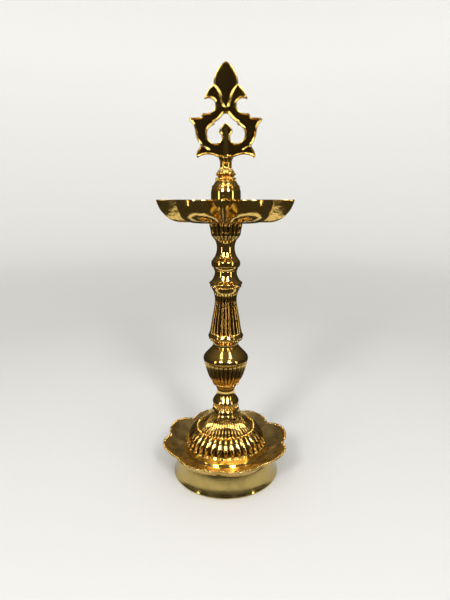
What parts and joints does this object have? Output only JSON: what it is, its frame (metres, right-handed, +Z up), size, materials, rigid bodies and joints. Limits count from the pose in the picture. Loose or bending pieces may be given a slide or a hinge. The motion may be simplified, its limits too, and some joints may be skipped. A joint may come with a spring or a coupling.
{
  "type": "standing oil lamp",
  "caption": "Tall brass standing oil lamp with a flared foot, petalled drip tray, fluted stem, spouted wick bowl and pierced palmette crest.",
  "frame": {"origin": "on the lamp's axis, at the flat underside of the foot's rim", "axes": "+Z up along the lamp's axis, -Y towards the front, where the crest plate faces, +X to its right"},
  "size_m": [0.0998, 0.1003, 0.3052],
  "materials": {
    "polished_brass": "polished",
    "bowl_brass": "polished",
    "tray_brass": "satin",
    "foot_brass": "satin",
    "plain_brass": "satin"
  },
  "bodies": {
    "base": {"foot_ring": "foot_brass", "drip_tray": "tray_brass", "base_dome": "polished_brass", "lower_knop": "polished_brass", "urn": "polished_brass", "base_rod": "plain_brass", "base_washer": "plain_brass", "base_nut": "plain_brass"},
    "stem_seat": {"stem_ring": "polished_brass"},
    "stem": {"fluted_column": "polished_brass", "stem_bell": "polished_brass", "stem_barrel": "polished_brass", "column_stud": "plain_brass", "stem_stud": "plain_brass"},
    "bowl_seat": {"bowl_ring": "polished_brass"},
    "bowl": {"bowl_cup": "polished_brass", "oil_bowl": "bowl_brass", "bowl_collar": "polished_brass", "bowl_stud": "plain_brass"},
    "crest_seat": {"crest_ring": "polished_brass"},
    "crest": {"finial_neck": "polished_brass", "crest_plate": "polished_brass", "finial_stud": "plain_brass"}
  },
  "joints": [
    {"name": "stem_rise", "type": "slide", "parent": "base", "child": "stem_seat", "axis": [0, 0, 1], "range_m": [0, 0.012]},
    {"name": "stem_unscrew", "type": "hinge", "parent": "stem_seat", "child": "stem", "pos_m": [0, 0, 0.105], "axis": [0, 0, 1], "range_deg": [0, 2880.5]},
    {"name": "bowl_rise", "type": "slide", "parent": "stem", "child": "bowl_seat", "axis": [0, 0, 1], "range_m": [0, 0.012]},
    {"name": "bowl_unscrew", "type": "hinge", "parent": "bowl_seat", "child": "bowl", "pos_m": [0, 0, 0.1852], "axis": [0, 0, 1], "range_deg": [0, 2880.5]},
    {"name": "crest_rise", "type": "slide", "parent": "bowl", "child": "crest_seat", "axis": [0, 0, 1], "range_m": [0, 0.012]},
    {"name": "crest_unscrew", "type": "hinge", "parent": "crest_seat", "child": "crest", "pos_m": [0, 0, 0.2299], "axis": [0, 0, 1], "range_deg": [0, 2880.5]}
  ],
  "couplings": [
    {"joint": "stem_unscrew", "follows": "stem_rise", "rad_per_m": 4188.8},
    {"joint": "bowl_unscrew", "follows": "bowl_rise", "rad_per_m": 4188.8},
    {"joint": "crest_unscrew", "follows": "crest_rise", "rad_per_m": 4188.8}
  ]
}
